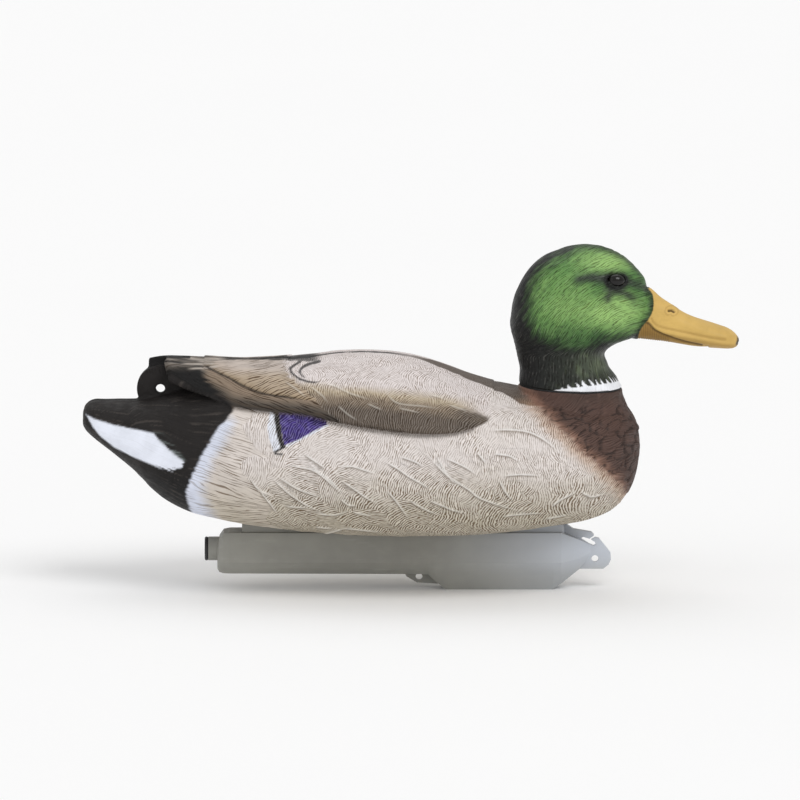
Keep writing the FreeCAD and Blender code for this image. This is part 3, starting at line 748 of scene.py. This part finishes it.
HEAD_BLACK = srgb(27, 28, 28)
GREEN_BRIGHT = srgb(150, 190, 112)
GREEN_MID = srgb(84, 128, 68)
GREEN_DEEP = srgb(48, 78, 44)
GREEN_BLACK = srgb(34, 48, 32)
NECK_DARK = srgb(44, 48, 42)
NECK_SHEEN = srgb(98, 108, 88)
NECK_FLECK = srgb(104, 118, 88)
NAPE_FLECK = srgb(66, 72, 64)
FACE_MARK = srgb(48, 50, 50)
EYE_RING = srgb(34, 37, 34)
COLLAR_WHITE = srgb(243, 245, 250)
BILL_YELLOW = srgb(213, 177, 102)
BILL_SHADE = srgb(150, 114, 56)
BILL_LINE = srgb(84, 62, 30)
BILL_NAIL = srgb(32, 28, 24)
COMB_PITCH = 1.6     # mm between the teeth of the comb in the bill
COLLAR_PITCH = 5.2   # mm from spike to spike, and their height
COLLAR_RADIUS = 34


def head_places(co, eye, eye_reach):
    """Where each vertex of the head lies: in the side view, in its strokes and in which region."""
    x, y, z = co.T
    p = SimpleNamespace(x=x, half=abs(y), z=z, far=np.where(y < 0, 0, APART))
    p.s, p.t = x, z - VIEW_TILT * p.half
    p.bearing = np.arctan2(y, x - NECK_X - NECK_LEAN * (z - SEAM_Z))
    p.face_d = within(p, FACE_OUTLINE)
    p.bill = smooth(0.3, -0.3, p.face_d)
    p.nape_d = within(p, NAPE_OUTLINE)
    p.ring = np.hypot((p.s - eye[0]) / eye_reach[0], (p.t - eye[1]) / eye_reach[1])

    # Strokes sweep round the head, and run down the neck
    radius = np.hypot(p.s - SWIRL[0], p.t - SWIRL[1]) - 44 + 1.0 * noise(p.s / 16, p.t / 16, 81)
    p.across = radius + (abs(p.bearing) * 16 - radius) * smooth(181, 167, p.t)
    p.along = p.t + 0.6 * p.s + p.far
    p.neck = smooth(177, 168, p.t)
    p.blotch = fractal(p.s / 15, p.t / 15 + p.far, 91)
    p.speck = fractal(p.s / 2.6, p.t / 2.6 + p.far, 94)
    p.stroke = noise(p.across / 1.3, p.along / 7, 92)

    p.gape_d, p.edge_d, p.groove_d, p.nostril_d = (
        away(p, run) for run in (GAPE, BILL_EDGE, BILL_GROOVE, NOSTRIL))
    p.below_gape = smooth(0, 1.5, follow(p.s, GAPE) - p.t)
    p.comb = (p.s > 164) * (p.s < 186) * p.below_gape
    p.teeth = np.sin(p.s * 2 * math.pi / COMB_PITCH)
    return p


def head_relief(p):
    """Height of the moulded relief, in mm."""
    height = 0.16 * noise(p.across / 1.6, p.along / 10, 93) * (1 - p.bill)
    height += p.bill * (0.6 * bell(p.edge_d, 1.0) - 1.2 * bell(p.gape_d, 0.8) - 0.3 * bell(p.groove_d, 0.8))
    height += p.bill * (0.3 * bell(p.nostril_d - 2.6, 0.8) - 1.4 * bell(p.nostril_d, 0.9))
    height += p.bill * p.comb * 0.22 * p.teeth
    swell = smooth(-1.5, 1.5, p.face_d) * np.exp(-np.maximum(p.face_d, 0) / 5)
    height += swell * (p.s > 150) * (p.t > 178) * smooth(216, 210, p.t)
    height += 0.8 * bell(p.ring - 1.16, 0.14) - 1.2 * smooth(1.06, 0.9, p.ring)
    height += 0.6 * bell(away(p, BROW), 4)
    return height - 0.5 * bell(away(p, LORE), 3)


def plumage_colours(p):
    """Glossy green with brush strokes, black up the nape, a dark neck, and the marks round the eye."""
    c = plain(GREEN_MID, len(p.x))
    bright = sum(gain * bell(p.s - s, wide) * bell(p.t - t, tall) for s, t, wide, tall, gain in BRIGHT_SPOTS)
    c = paint(c, GREEN_BRIGHT, bright * 1.15 + 0.2 * p.blotch + 0.15 * smooth(0.1, 0.9, p.stroke))
    c = paint(c, GREEN_DEEP, smooth(-0.1, -1.0, p.stroke) * 0.25)
    c = paint(c, GREEN_DEEP, smooth(194, 180, p.t + 3 * p.blotch) * 0.65 * smooth(170, 140, p.s))
    c = paint(c, GREEN_BLACK, 0.7 * smooth(0.35, 0.8, p.speck) * smooth(205, 185, p.t))
    ridge = smooth(15, 4, p.half) * smooth(205, 225, p.t) * smooth(172, 160, p.s)
    dark = np.maximum(smooth(9, -7, p.nape_d + 3.0 * p.stroke + 2.5 * p.blotch), 0.75 * ridge)
    c = paint(c, HEAD_BLACK, dark)

    c = paint(c, NECK_DARK, p.neck * smooth(84, 112, p.s) * 0.8)
    flecks = smooth(0.35, 1.0, p.stroke)
    front = bell(p.s - 136, 15) * bell(p.t - 163, 8)
    c = paint(c, NECK_SHEEN, p.neck * front * (0.75 + 0.25 * p.stroke))
    c = paint(c, NECK_FLECK, p.neck * smooth(95, 125, p.s) * flecks * 0.45)
    c = paint(c, NAPE_FLECK, dark * (1 - p.neck) * flecks * 0.45)

    for run, width, depth in FACE_MARKS:
        d, a = line_distance(p.s, p.t, run)
        fade = smooth(0, 0.3, a) if run is BROW else smooth(1.25, 0.6, a)
        c = paint(c, FACE_MARK, depth * fade * bell(d + 0.8 * p.blotch + 0.5 * p.stroke, width))
    c = paint(c, EYE_RING, 0.55 * bell(p.ring - 1.0, 0.75))
    c = paint(c, HEAD_BLACK, 0.95 * smooth(1.5, 1.15, p.ring))
    return paint(c, HEAD_BLACK, 0.8 * smooth(5.5, 0.5, p.face_d + 0.8 * p.stroke) * (p.s > 150))


def collar_mask(p):
    """1 on the white collar, whose upper edge is drawn out in spikes."""
    tooth = (p.bearing + 9) * COLLAR_RADIUS / COLLAR_PITCH + 0.25 * noise(p.bearing * 9, p.z / 8, 95)
    tooth = np.modf(tooth + (p.t - 146) * 0.1)[0]
    spikes = COLLAR_PITCH * np.maximum(0, 1 - abs(tooth - 0.5) * 4.2) * smooth(102, 124, p.s)
    uneven = 1 + 0.3 * noise(p.bearing * 7, 0 * p.s, 96)
    top = follow(p.s, COLLAR_TOP) - 0.8 + spikes * uneven
    return smooth(-0.4, 0.3, top - p.t) * smooth(100, 105, p.s)


def bill_colours(p):
    """Ochre, shaded under the edge, with a dark gape, comb, nostril and nail."""
    c = plain(BILL_YELLOW, len(p.x))
    c = paint(c, BILL_SHADE, 0.16 * smooth(0, 1, p.blotch) + 0.12 * smooth(0.3, 0.9, p.speck))
    c = paint(c, BILL_SHADE, 0.4 * smooth(1.3, 0.4, p.groove_d))
    under_edge = smooth(-1, 2, follow(p.s, BILL_EDGE) - p.t)
    c = paint(c, BILL_SHADE, 0.42 * p.below_gape * smooth(210, 190, p.s) + 0.45 * under_edge)
    c = paint(c, BILL_LINE, 0.85 * smooth(1.2, 0.3, p.gape_d) * (p.s < 210))
    c = paint(c, BILL_LINE, p.comb * 0.4 * smooth(0.2, -0.8, p.teeth))
    c = paint(c, BILL_LINE, 0.9 * smooth(1.1, 0.4, p.nostril_d))
    c = paint(c, BILL_SHADE, 0.35 * smooth(3.3, 2.9, p.nostril_d) * smooth(2.1, 2.6, p.nostril_d))
    return paint(c, BILL_NAIL, 0.95 * smooth(233.2, 234.8, p.x) * smooth(177, 178.5, p.z))


# ---- materials ----
class Nodes:
    """A short way to wire up a shader."""

    def __init__(self, name):
        self.material = bpy.data.materials.new(name)
        self.material.use_nodes = True
        self.tree = self.material.node_tree
        self.shader = self.tree.nodes["Principled BSDF"]

    def add(self, kind, inputs=(), **settings):
        node = self.tree.nodes.new(kind)
        for key, value in settings.items():
            setattr(node, key, value)
        for key, value in dict(inputs).items():
            self.put(node.inputs[key], value)
        return node

    def put(self, socket, value):
        if isinstance(value, bpy.types.NodeSocket):
            self.tree.links.new(value, socket)
        elif isinstance(value, bpy.types.Node):
            self.tree.links.new(value.outputs[0], socket)
        else:
            socket.default_value = value

    def position(self):
        return self.add("ShaderNodeTexCoord").outputs["Object"]

    def math(self, operation, *values):
        return self.add("ShaderNodeMath", enumerate(values), operation=operation).outputs[0]

    def times(self, first, *others):
        for value in others:
            first = self.math("MULTIPLY", first, value)
        return first

    def bell(self, value, sharpness):
        squared = self.math("POWER", self.times(value, sharpness), 2.0)
        return self.math("EXPONENT", self.times(squared, -1.0))

    def noise(self, vector, scale, detail=2.0, rough=0.5):
        settings = {"Vector": vector, "Scale": scale, "Detail": detail, "Roughness": rough}
        return self.add("ShaderNodeTexNoise", settings).outputs[0]

    def mix(self, factor, a, b, blend="MIX"):
        node = self.add("ShaderNodeMix", data_type="RGBA", blend_type=blend)
        for socket, value in ((node.inputs[0], factor), (node.inputs[6], a), (node.inputs[7], b)):
            self.put(socket, value)
        return node.outputs[2]

    def blend_values(self, factor, a, b):
        return self.add("ShaderNodeMix", {0: factor, 2: a, 3: b}).outputs[0]

    def split(self, vector):
        return self.add("ShaderNodeSeparateXYZ", {0: vector}).outputs

    def attribute(self, name):
        return self.add("ShaderNodeAttribute", attribute_name=name).outputs["Vector"]

    def join(self, x, y, z):
        return self.add("ShaderNodeCombineXYZ", {0: x, 1: y, 2: z}).outputs[0]

    def stretched(self, scale):
        return self.add("ShaderNodeMapping", {0: self.position(), 3: scale}).outputs[0]

    def ramp(self, value, low, high, to_low=0.0, to_high=1.0):
        node = self.add("ShaderNodeMapRange", {0: value, 1: low, 2: high, 3: to_low, 4: to_high},
                        interpolation_type="SMOOTHSTEP")
        return node.outputs[0]

    def finish(self, colour, rough, height=None, strength=1.0, distance=0.001, **extra):
        self.put(self.shader.inputs["Base Color"], colour)
        self.put(self.shader.inputs["Roughness"], rough)
        if height is not None:
            bump = self.add("ShaderNodeBump", {"Height": height, "Strength": strength, "Distance": distance})
            self.put(self.shader.inputs["Normal"], bump)
        for key, value in extra.items():
            self.put(self.shader.inputs[key.replace("_", " ")], value)
        return self.material


def tone(colour, gain, lift=0.0):
    """A lighter or darker tone of a colour, for a shader's socket."""
    return tuple(min(1, c * gain + lift) for c in colour) + (1,)


def feather_paint(name, pitch, rough, dash=0.09, shine=0.0):
    """Painted moulded feathers: fine barbs and hairs in relief, brown in the grooves, pale shafts with a
    painted shadow line under each.
    """
    n = Nodes(name)
    paint_layer = n.add("ShaderNodeAttribute", attribute_name="paint")
    base, strength = paint_layer.outputs["Color"], paint_layer.outputs["Alpha"]
    across, along, regular = n.split(n.attribute("grain"))
    quill_side, quill_reach, _ = n.split(n.attribute("quill"))
    position = n.position()

    def cloud(across_scale, along_scale):
        place = n.join(n.times(across, across_scale / pitch), n.times(along, along_scale / pitch), 0.0)
        return n.noise(place, 1.0, 2.0, 0.55)

    def waves(sway, across_scale, along_scale, wavelength):
        shift = n.times(n.math("SUBTRACT", cloud(across_scale, along_scale), 0.5), sway * pitch)
        return n.math("SINE", n.times(n.math("ADD", across, shift), 2 * math.pi / wavelength))

    # Regular barbs, and loose broken hairs
    wave = waves(2.0, 0.35, 0.2, pitch)
    patchy = n.times(n.ramp(cloud(0.5, 0.45), 0.38, 0.58, 0.4),
                     n.ramp(n.noise(position, 60.0, 2.0, 0.5), 0.35, 0.62, 0.45))
    barb = n.times(n.ramp(wave, 0.25, -0.7), patchy)
    hairs = waves(4.0, 0.25, 0.05, pitch * 1.15)
    hair = n.times(n.ramp(hairs, -0.1, -0.85), n.ramp(cloud(0.8, dash), 0.43, 0.57, 0.1))
    crest = n.times(n.ramp(hairs, 0.1, 0.9), n.ramp(cloud(0.7, dash * 0.8), 0.5, 0.62), shine)
    groove = n.times(n.blend_values(regular, hair, barb), strength)
    top = n.times(n.blend_values(regular, crest, n.ramp(wave, 0.2, 1.0, 0.0, 0.35)), strength)
    # Brown wash for the grooves, also the colour of the painted shadow under the shafts
    wash_and_shadow = n.mix(1.0, base, (0.30, 0.24, 0.18, 1), "MULTIPLY")
    mixed = n.mix(top, base, n.mix(0.3, base, (1.0, 0.95, 0.88, 1), "SCREEN"))
    mixed = n.mix(n.times(groove, 0.9), mixed, wash_and_shadow)

    # Shafts, with a painted shadow line under each, in the wash colour
    stem = n.times(n.bell(quill_side, 1.5), quill_reach)
    shaft_shadow = n.times(n.bell(n.math("SUBTRACT", quill_side, 0.95), 2.4), quill_reach)
    mixed = n.mix(n.times(shaft_shadow, 0.65), mixed, wash_and_shadow)
    mixed = n.mix(n.times(stem, 0.9), mixed, n.mix(0.5, base, (1.0, 0.95, 0.86, 1), "SCREEN"))

    mottle = n.ramp(n.noise(position, 60.0, 4.0, 0.6), 0.3, 0.7, 0.92, 1.05)
    mixed = n.mix(1.0, mixed, n.join(mottle, mottle, mottle), "MULTIPLY")
    gloss = n.ramp(n.noise(position, 180.0, 3.0), 0.3, 0.7, rough - 0.07, rough + 0.08)
    depth = n.math("SUBTRACT", n.times(stem, 1.2), groove)
    return n.finish(mixed, gloss, depth, 0.9, 0.0004, Specular_IOR_Level=0.22)


def moulded(name, colour, rough, grain=900.0, lit_front_tone=None):
    """Moulded plastic or rubber: a fine grain, faint mottling and scuffs; maybe a painted lighter tone where
    light falls on the front and top, and then painted shade darkening the top.
    """
    n = Nodes(name)
    position = n.position()
    cloud = n.ramp(n.noise(position, 22.0, 4.0, 0.6), 0.3, 0.7)
    base = n.mix(cloud, tone(colour, 0.9), tone(colour, 1.1))
    if lit_front_tone is not None:
        x, _, z = n.split(position)
        # Painted light: a lighter bluish tone on the front and upper part, where light falls
        forward = n.times(n.ramp(x, 0.0, 0.15), n.ramp(z, 0.005, 0.03, 0.45, 1.0))
        base = n.mix(forward, base, tone(lit_front_tone, 1.0))
        # Painted shade: darker towards the top, under the hull
        base = n.mix(n.ramp(z, 0.034, 0.052, 0.0, 0.5), base, n.mix(0.6, base, (0, 0, 0, 1)))
    scuff = n.ramp(n.noise(n.stretched((14.0, 160.0, 120.0)), 2.0, 5.0, 0.65), 0.56, 0.74, 0.0, 0.2)
    base = n.mix(scuff, base, tone(colour, 1.5, 0.05))
    gloss = n.ramp(n.noise(position, 140.0, 3.0), 0.3, 0.7, rough - 0.06, rough + 0.08)
    return n.finish(base, gloss, n.noise(position, grain, 3.0, 0.7), 0.5, 0.00008)


def metal(name, colour, rough, scale):
    """Machined or cast metal, streaked or mottled as the scale of its grain along x, y and z says."""
    n = Nodes(name)
    streak = n.noise(n.stretched(scale), 1.0, 4.0)
    base = n.mix(n.ramp(streak, 0.3, 0.7), tone(colour, 0.8), tone(colour, 1.15))
    gloss = n.ramp(streak, 0.3, 0.7, rough - 0.08, rough + 0.1)
    return n.finish(base, gloss, streak, 0.3, 0.00005, Metallic=1.0)


def glass_bead(name):
    """Near-black polished bead."""
    n = Nodes(name)
    position = n.position()
    haze = n.ramp(n.noise(position, 400.0, 3.0), 0.4, 0.8, 0.1, 0.14)
    iris = n.mix(n.noise(position, 150.0, 2.0), (0.004, 0.004, 0.005, 1), (0.010, 0.008, 0.006, 1))
    return n.finish(iris, haze, Specular_IOR_Level=0.35)


# ---- pieces ----
def add_body():
    co, quads = outer_skin("body", [NODES["body_shell"].data, rod_mesh(*BODY_STOP)], BODY_VOXEL)
    p = body_places(co)
    add_feathers(p)
    attributes = attribute_set(body_colours(p), body_strength(p), body_grain(p, quads),
                               p.quill_side, p.quill_reach)

    # Fuller back, rear belly and breast; nothing moves at the seam, the keel or the tail lug
    facing = normals(co, quads)[:, 2]
    low_facing = smooth(0.1, -0.5, facing)
    height = body_relief(p) + 1.1 * smooth(0.5, 0.9, facing) * smooth(138, 146, p.z) * smooth(-70, -50, p.x)
    height += low_facing * (3.0 * bell(p.x + 165, 28) + 2.0 * bell(p.x - 130, 22))
    near_seam = smooth(0, 3, SEAM_Z - 1.5 - p.z - NECK_LEAN * (p.x - NECK_X))
    flat = smooth(26, 14, p.half) * smooth(60, 48, p.z)
    at_lug = smooth(6.5, 4.8, p.half) * smooth(136, 140, p.z) * smooth(-160, -166, p.x)
    height = height * (1 - flat) * (1 - at_lug) * np.where(p.x > 60, near_seam, 1)
    return make_piece("painted_body", relief(co, quads, height), quads, attributes,
                      feather_paint("painted_body", 1.6, 0.6))


def add_head():
    low, high = (np.array(v) * 1000 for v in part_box("right_eye"))
    centre, half = (low + high) / 2, (high - low) / 2
    eye = (centre[0], centre[2] - VIEW_TILT * abs(low[1]))
    co, quads = outer_skin("head", [NODES["head_shell"].data, rod_mesh(*HEAD_STOP)], HEAD_VOXEL)
    p = head_places(co, eye, (half[0] * 0.98, half[2] * 0.95))
    on_collar = collar_mask(p)
    colours = paint(paint(plumage_colours(p), COLLAR_WHITE, on_collar), bill_colours(p), p.bill)
    strength = mix(0.8, 0.05, p.bill) * (1 - 0.85 * on_collar)
    grain = np.column_stack([p.across, p.along, 0 * p.x])
    attributes = attribute_set(colours, strength, grain, 0 * p.x + 99, 0 * p.x)

    # Higher crown; nothing moves at the seam
    crown = smooth(184, 200, p.z + 0.5 * np.maximum(p.x - 170, 0))
    crown = crown * smooth(0.15, 0.75, normals(co, quads)[:, 2])
    height = head_relief(p) + 1.9 * crown
    height = height * smooth(0, 3, p.z - SEAM_Z - 2.0 + NECK_LEAN * (p.x - NECK_X))
    return make_piece("painted_head", relief(co, quads, height), quads, attributes,
                      feather_paint("painted_head", 1.1, 0.48, 0.24, 0.17))


def on_node(node, material):
    """A designed piece whose own form is final takes its finish."""
    o = NODES[node]
    if not o.material_slots:
        o.data.materials.append(material)
    for slot in o.material_slots:
        slot.link = "OBJECT"
        slot.material = material


def place(piece, body, node, slot):
    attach(piece, body)
    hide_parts(node)


# ---- studio ----
def add_stage():
    n = Nodes("paper")
    n.finish(n.mix(n.noise(n.position(), 3.0), (0.975, 0.975, 0.975, 1), (0.985, 0.985, 0.985, 1)), 0.9)
    reach = 30
    corners = [(x * reach, y * reach, 0) for x, y in ((-1, -1), (1, -1), (1, 1), (-1, 1))]
    mesh = bpy.data.meshes.new("floor")
    mesh.from_pydata(corners, [], [(0, 1, 2, 3)])
    mesh.materials.append(n.material)
    link("floor", mesh)
    scene = bpy.context.scene
    scene.view_settings.view_transform = "Standard"
    scene.world = bpy.data.worlds.new("studio")
    scene.world.use_nodes = True
    background = scene.world.node_tree.nodes["Background"]
    background.inputs["Color"].default_value = (1, 1, 1, 1)
    background.inputs["Strength"].default_value = 0.56


def add_light(name, towards, strength, spread):
    """A soft, even light shining from the direction given."""
    data = bpy.data.lights.new(name, "SUN")
    data.energy = strength
    data.angle = math.radians(spread)
    o = link(name, data)
    o.rotation_euler = Vector(towards).to_track_quat("Z", "Y").to_euler()


def add_camera():
    """A long lens from the duck's right, a little above."""
    data = bpy.data.cameras.new("camera")
    distance, across = 9.0, 0.576
    data.sensor_width = 36
    data.lens = data.sensor_width * distance / across
    camera = link("camera", data)
    rise = math.atan(VIEW_TILT)
    aim = Vector((-0.0072, 0, 0.1368))
    camera.location = aim + distance * Vector((0, -math.cos(rise), math.sin(rise)))
    camera.rotation_euler = (math.pi / 2 - rise, 0, 0)
    bpy.context.scene.camera = camera


place(add_body(), "hull", "body_shell", "painted_body")
place(add_head(), "head", "head_shell", "painted_head")
bead = glass_bead("eye_bead")
steel = metal("screw_steel", srgb(190, 190, 188), 0.3, (900.0, 900.0, 60.0))
iron = metal("ballast_iron", srgb(96, 92, 88), 0.6, (150.0, 150.0, 150.0))
# Keel plastic; its last colour is a painted lighter bluish tone for the lit front and top
grey_plastic = moulded("keel_plastic", srgb(148, 147, 140), 0.45, 700.0, srgb(200, 206, 216))
FINISHES = {
    "right_eye": bead,
    "left_eye": bead,
    "keel_shell": grey_plastic,
    "keel_plug": moulded("plug_plastic", srgb(40, 40, 42), 0.5),
    "neck_gasket": moulded("gasket_rubber", srgb(30, 30, 31), 0.75),
    "ballast_weight": iron,
    "keel_screws": steel,
    "keel_washers": steel,
}
for node, material in FINISHES.items():
    on_node(node, material)

add_stage()
add_light("key", (0.45, -0.75, 1.0), 1.12, 32)
add_light("fill", (-0.9, -0.6, 0.45), 0.25, 60)
add_light("top", (-0.2, 0.6, 1.0), 0.5, 50)
add_camera()
